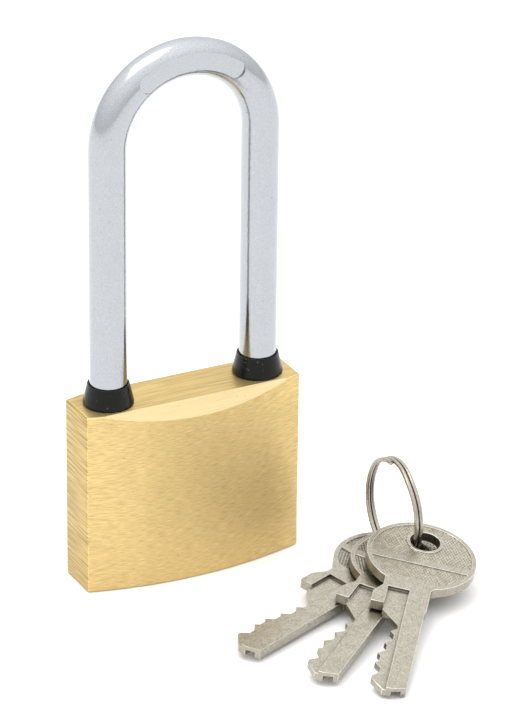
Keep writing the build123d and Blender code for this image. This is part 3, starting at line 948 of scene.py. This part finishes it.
@dataclass
class Knurl:
    """The field of small pyramids in the recess of a key's bow.

    Attributes:
        pitch: Distance between pyramids across the key.
        stretch: How much longer than wide a pyramid is.
        groove: Half the width of the groove between two pyramids.
        height: Height of a pyramid.
        floor: Height of the recess's floor over the key's middle.
        sunk: How deep the field's slab reaches under that floor.
        margin: How much wider than the field the slab is.
        cutter_height: Height of the shapes that cut the slab.
        cutter_sides: How many sides a round cutter has.
        bow_centre: Middle of the bow, from the ring hole.
        radius: Radius of the field.
        hole_radius: Radius of the plain rim of the ring hole.
        band: Start and end of the plain band across the bow.
        tongue: Where the plain tongue starts.
        tongue_sides: The tongue's two sides.
    """

    pitch: float = 0.7 * MM
    stretch: float = 1.8
    groove: float = 0.12 * MM
    height: float = 0.2 * MM
    floor: float = 0.85 * MM
    sunk: float = 0.1 * MM
    margin: float = 1.05
    cutter_height: float = 5.1 * MM
    cutter_sides: int = 96
    bow_centre: float = 5.2 * MM
    radius: float = 10.75 * MM
    hole_radius: float = 3.95 * MM
    band: tuple[float, float] = (6.7 * MM, 8.5 * MM)
    tongue: float = 13.8 * MM
    tongue_sides: tuple[float, float] = (-7.5 * MM, 4.8 * MM)

    def slab(self) -> bpy.types.Object:
        """A square plate covered with pyramids.

        Returns:
            The plate.
        """
        side = 2 * self.margin * self.radius
        count = round(side / self.pitch * math.sqrt(2.0))
        deselect()
        bpy.ops.mesh.primitive_grid_add(
            x_subdivisions=count,
            y_subdivisions=count,
            size=side,
            rotation=(0.0, 0.0, math.radians(45.0)),
        )
        plate = bpy.context.object
        plate.name = "knurl"
        for _ in range(2):
            bpy.ops.object.material_slot_add()
        apply_place()
        plate.scale = (self.stretch, 1.0, 1.0)
        plate.location = (self.bow_centre, 0.0, self.floor)
        apply_place()
        bpy.ops.object.mode_set(mode="EDIT")
        bpy.ops.mesh.select_all(action="SELECT")
        bpy.ops.mesh.inset(thickness=self.groove, use_individual=True)
        bpy.ops.mesh.poke(offset=self.height, use_relative_offset=False)
        # The grooves take the second slot, which the keys fill with painted shade.
        plate.active_material_index = 1
        bpy.ops.mesh.select_all(action="INVERT")
        bpy.ops.object.material_slot_assign()
        bpy.ops.mesh.select_all(action="DESELECT")
        bpy.ops.mesh.select_mode(type="EDGE")
        bpy.ops.mesh.select_non_manifold()
        bpy.ops.mesh.extrude_edges_move(TRANSFORM_OT_translate={"value": (0.0, 0.0, -self.sunk)})
        bpy.ops.mesh.edge_face_add()
        face_outwards()
        bpy.ops.object.mode_set(mode="OBJECT")
        return plate

    def box(self, low: tuple[float, float], high: tuple[float, float]) -> bpy.types.Object:
        """A tall box over a rectangle.

        Args:
            low: Its lower corner.
            high: Its upper corner.

        Returns:
            The box.
        """
        deselect()
        bpy.ops.mesh.primitive_cube_add(
            size=1.0, location=((low[0] + high[0]) / 2, (low[1] + high[1]) / 2, self.floor),
            scale=(high[0] - low[0], high[1] - low[1], self.cutter_height),
        )
        apply_place()
        return bpy.context.object

    def drum(self, centre: float, radius: float) -> bpy.types.Object:
        """A tall cylinder over a circle.

        Args:
            centre: Its middle, from the ring hole.
            radius: Its radius.

        Returns:
            The cylinder.
        """
        deselect()
        bpy.ops.mesh.primitive_cylinder_add(
            vertices=self.cutter_sides,
            radius=radius,
            depth=self.cutter_height,
            location=(centre, 0.0, self.floor),
        )
        apply_place()
        return bpy.context.object

    def build(self) -> bpy.types.Object:
        """Cuts the plate to the field's outline.

        Returns:
            The field on the top side of a key that lies at the origin.
        """
        reach = 2 * self.radius
        field = self.slab()
        combine(field, self.drum(self.bow_centre, self.radius), "INTERSECT")
        combine(field, self.drum(0.0, self.hole_radius), "DIFFERENCE")
        combine(field, self.box((self.band[0], -reach), (self.band[1], reach)), "DIFFERENCE")
        low, high = self.tongue_sides
        combine(field, self.box((self.tongue, low), (self.tongue + reach, high)), "DIFFERENCE")
        return field


@dataclass
class SplitRing:
    """The ring of two turns of round wire.

    Attributes:
        centre: Middle of the ring on the floor plan, in millimetres.
        heading: Direction of its plane on the floor, in degrees.
        lean: How far it leans, in degrees.
        radius: Radius of the wire's middle line.
        wire: Radius of the wire.
        step: Distance between the turns.
        start: Where the wire starts, in degrees.
        lap: How far the wire's two ends lie past each other, in degrees.
        spread: How far from the lap the turns close up again, in degrees.
        facet: Length of one straight stretch of the wire, in degrees.
        sides: How many sides the wire has.
        smooth: Bend under which its faces are shaded smooth, in degrees.
        top: Height of the ring's middle.
    """

    centre: tuple[float, float] = (40.6, -19.8)
    heading: float = 89.1
    lean: float = 1.4
    radius: float = 11.0 * MM
    wire: float = 0.5 * MM
    step: float = 1.04 * MM
    start: float = 88.0
    lap: float = 26.0
    spread: float = 42.0
    facet: float = 4.0
    sides: int = 16
    smooth: float = 40.0
    top: float = 11.674 * MM

    def matrix(self) -> Matrix:
        """The ring's plane.

        Returns:
            The plane as a matrix, with the ring's axis along Z.
        """
        heading = math.radians(self.heading)
        lean = math.radians(self.lean)
        along = Vector((math.cos(heading), math.sin(heading), 0.0))
        upward = Vector((
            math.sin(heading) * math.sin(lean), -math.cos(heading) * math.sin(lean), math.cos(lean)
        ))
        turn = Matrix((along, upward, along.cross(upward))).transposed().to_4x4()
        spot = Vector((self.centre[0] * MM, self.centre[1] * MM, self.top))
        start = Matrix.Rotation(math.radians(self.start), 4, "Z")
        return Matrix.Translation(spot) @ turn @ start

    def turn_flat(self, angle: float) -> None:
        """Winds the wire on at one level.

        Args:
            angle: How far, in degrees.
        """
        bpy.ops.mesh.spin(
            steps=round(angle / self.facet),
            angle=math.radians(angle),
            center=(0.0, 0.0, 0.0),
            axis=(0.0, 0.0, 1.0),
        )

    def turn_over(self) -> None:
        """Winds the wire on while it moves sideways by half a step."""
        parts = round(self.spread / self.facet)
        for part in range(parts):
            low = (1 - math.cos(math.pi * part / parts)) / 2
            high = (1 - math.cos(math.pi * (part + 1) / parts)) / 2
            bpy.ops.mesh.extrude_edges_move(
                TRANSFORM_OT_translate={"value": (0.0, 0.0, (high - low) * self.step / 2)}
            )
            bpy.ops.transform.rotate(
                value=math.radians(self.spread / parts),
                orient_axis="Z",
                center_override=(0.0, 0.0, 0.0),
            )

    def build(self) -> bpy.types.Object:
        """Winds the wire: two turns side by side, and three wires where the ends lap.

        Returns:
            The ring, in its place.
        """
        deselect()
        bpy.ops.mesh.primitive_circle_add(
            vertices=self.sides,
            radius=self.wire,
            location=(self.radius, 0.0, -self.step),
            rotation=(math.radians(90.0), 0.0, 0.0),
        )
        ring = bpy.context.object
        ring.name = "key_ring_wire"
        apply_place()
        bpy.ops.object.mode_set(mode="EDIT")
        bpy.ops.mesh.select_all(action="SELECT")
        for _ in range(2):
            self.turn_flat(self.lap)
            self.turn_over()
            self.turn_flat(360.0 - self.lap - 2 * self.spread)
            self.turn_over()
        self.turn_flat(self.lap)
        bpy.ops.mesh.select_all(action="SELECT")
        bpy.ops.mesh.fill_holes(sides=self.sides)
        face_outwards()
        bpy.ops.object.mode_set(mode="OBJECT")
        bpy.ops.object.shade_smooth_by_angle(angle=math.radians(self.smooth))
        settle(ring, self.matrix())
        return ring


@dataclass
class KeyBunch:
    """The split ring and its three keys.

    Attributes:
        places: Where the keys lie, from the lowest to the topmost.
        edge: Width of a key's broken edges.
        edge_bend: Bend from which an edge of a key is broken, in degrees.
    """

    places: tuple[KeyPlace, ...] = (
        KeyPlace((39.901, -25.403, 2.75), 202.2, 0.3, -7.7),
        KeyPlace((40.798, -28.402, 4.9), 219.5, 2.7, -7.4),
        KeyPlace((41.75, -31.1, 7.95), 232.6, 6.8, -9.3),
    )
    edge: float = 0.14 * MM
    edge_bend: float = 35.0

    def ring(self) -> None:
        """Winds the split ring of round wire."""
        steel = RING_STEEL.build()
        wear(frame["nodes"]["key_ring"], steel)
        ring = SplitRing().build()
        wear(ring, steel)
        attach(ring, "key_ring")
        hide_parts("key_ring")

    def keys(self) -> None:
        """Breaks the keys' edges and fills their bows with knurling."""
        field = Knurl().build()
        points = KNURL_POINTS.build()
        painted_shade = GROOVE_SHADE.build()
        wear_and_highlight = KEY_EDGE.build()
        mirror = Matrix.Diagonal((1.0, 1.0, -1.0, 1.0))
        for number, place in enumerate(self.places, start=1):
            node = f"key_{number}"
            heading = math.radians(place.heading)
            nickel = replace(KEY_NICKEL, name=f"key_nickel_{number}", heading=heading)
            wear(frame["nodes"][node], nickel.build())
            blank = eased_copy(node, self.edge, self.edge_bend, wear_and_highlight)
            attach(blank, node)
            for side, flip in (("top", Matrix.Identity(4)), ("under", mirror)):
                knurl = copy_of(field, f"{node}_knurl_{side}")
                settle(knurl, place.matrix() @ flip)
                bpy.ops.object.mode_set(mode="EDIT")
                face_outwards()
                bpy.ops.object.mode_set(mode="OBJECT")
                knurl.data.materials[0] = points
                # The grooves get the painted shade.
                knurl.data.materials[1] = painted_shade
                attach(knurl, node)
        pick(field)
        bpy.ops.object.delete()

    def build(self) -> None:
        """Makes the ring and the keys."""
        self.ring()
        self.keys()


@dataclass
class Studio:
    """The pale floor, the soft light and the camera.

    Attributes:
        image_height: Height of the photograph, in pixels.
        focal_pixels: Distance of the image plane, in pixels.
        sensor: Long side of the camera's sensor, in millimetres.
        azimuth: The camera's direction, from the front towards the right, in degrees.
        elevation: The camera's height over the floor, in degrees.
        roll: The camera's turn about its own axis, in degrees.
        distance: Distance from the camera to the aim.
        aim: The point that the camera is set out from.
        offset_right: How far the aim lies right of the picture's middle.
        offset_up: How far the aim lies over the picture's middle.
        floor_half: Half the floor's side.
        floor_gap: How far the floor lies under the lock.
        floor_grey: How bright the floor is, 0 to 1.
        floor_gloss: The floor's roughness.
        tent_height: The tent's strength at the horizon and overhead.
        tent_width: Its share on the left and on the right.
        softbox_spot: Where the soft light hangs.
        softbox_aim: The point that it faces.
        softbox_size: Side of its square.
        softbox_power: Its power, in watts.
    """

    image_height: int = 713
    focal_pixels: float = 4000.0
    sensor: float = 36.0
    azimuth: float = -27.87
    elevation: float = 25.248
    roll: float = 0.749
    distance: float = 838.35 * MM
    aim: tuple[float, float, float] = (0.0, 0.0, 50.0 * MM)
    offset_right: float = -16.428 * MM
    offset_up: float = 1.938 * MM
    floor_half: float = 3.0
    floor_gap: float = 0.03 * MM
    floor_grey: float = 0.88
    floor_gloss: float = 0.8
    tent_height: Span = (1.02, 1.92)
    tent_width: Span = (1.02, 0.98)
    softbox_spot: tuple[float, float, float] = (-0.3, 0.15, 1.2)
    softbox_aim: tuple[float, float, float] = (0.0, 0.0, 0.03)
    softbox_size: float = 0.8
    softbox_power: float = 4.0

    def camera(self) -> None:
        """Sets the camera at the photograph's viewing angle."""
        azimuth = math.radians(self.azimuth)
        elevation = math.radians(self.elevation)
        back = Vector((
            math.sin(azimuth) * math.cos(elevation),
            -math.cos(azimuth) * math.cos(elevation),
            math.sin(elevation),
        ))
        turn = (-back).to_track_quat("-Z", "Y").to_matrix()
        turn = turn @ Matrix.Rotation(math.radians(self.roll), 3, "Z")
        right = turn.col[0]
        up = turn.col[1]
        data = bpy.data.cameras.new("camera")
        data.sensor_width = self.sensor
        data.lens = self.focal_pixels / self.image_height * self.sensor
        data.clip_end = 50.0
        camera = bpy.data.objects.new("camera", data)
        bpy.context.scene.collection.objects.link(camera)
        spot = Vector(self.aim) + back * self.distance
        spot = spot - right * self.offset_right - up * self.offset_up
        camera.matrix_world = Matrix.Translation(spot) @ turn.to_4x4()
        bpy.context.scene.camera = camera

    def floor(self) -> None:
        """Lays a plain pale floor."""
        deselect()
        level = (0.0, 0.0, -self.floor_gap)
        bpy.ops.mesh.primitive_plane_add(size=2 * self.floor_half, location=level)
        floor = bpy.context.object
        floor.name = "floor"
        graph = Graph("floor_white")
        graph.shader.inputs["Base Color"].default_value = (*(self.floor_grey,) * 3, 1.0)
        graph.shader.inputs["Roughness"].default_value = self.floor_gloss
        graph.shader.inputs["Specular IOR Level"].default_value = 0.0
        floor.data.materials.append(graph.material)

    def softbox(self) -> None:
        """Hangs the soft light."""
        data = bpy.data.lights.new("softbox", "AREA")
        data.size = self.softbox_size
        data.energy = self.softbox_power
        light = bpy.data.objects.new("softbox", data)
        bpy.context.scene.collection.objects.link(light)
        spot = Vector(self.softbox_spot)
        facing = (Vector(self.softbox_aim) - spot).to_track_quat("-Z", "Y")
        light.matrix_world = Matrix.Translation(spot) @ facing.to_matrix().to_4x4()

    def world(self) -> None:
        """A white tent all round, brighter overhead and towards the left."""
        world = bpy.data.worlds.new("tent")
        world.use_nodes = True
        bpy.context.scene.world = world
        tree = world.node_tree
        direction = tree.nodes.new("ShaderNodeTexCoord").outputs["Generated"]
        split = tree.nodes.new("ShaderNodeSeparateXYZ")
        tree.links.new(direction, split.inputs["Vector"])
        shares = []
        for axis, lowest, (start, end) in (("Z", 0.0, self.tent_height), ("X", -1.0, self.tent_width)):
            ramp = tree.nodes.new("ShaderNodeMapRange")
            tree.links.new(split.outputs[axis], ramp.inputs["Value"])
            ramp.inputs["From Min"].default_value = lowest
            ramp.inputs["From Max"].default_value = 1.0
            ramp.inputs["To Min"].default_value = start
            ramp.inputs["To Max"].default_value = end
            shares.append(ramp.outputs["Result"])
        product = tree.nodes.new("ShaderNodeMath")
        product.operation = "MULTIPLY"
        for share, socket in zip(shares, product.inputs):
            tree.links.new(share, socket)
        background = tree.nodes["Background"]
        background.inputs["Color"].default_value = (1.0, 1.0, 1.0, 1.0)
        tree.links.new(product.outputs["Value"], background.inputs["Strength"])

    def build(self) -> None:
        """Makes the floor, the light and the camera."""
        self.floor()
        self.world()
        self.softbox()
        self.camera()
        bpy.context.scene.view_settings.view_transform = "Standard"


def main() -> None:
    """Dresses the lock and its keys, and sets up the studio."""
    logging.basicConfig(level=logging.INFO, format="%(name)s: %(message)s")
    Lock().dress()
    KeyBunch().build()
    Studio().build()


if __name__ == "__main__":
    main()
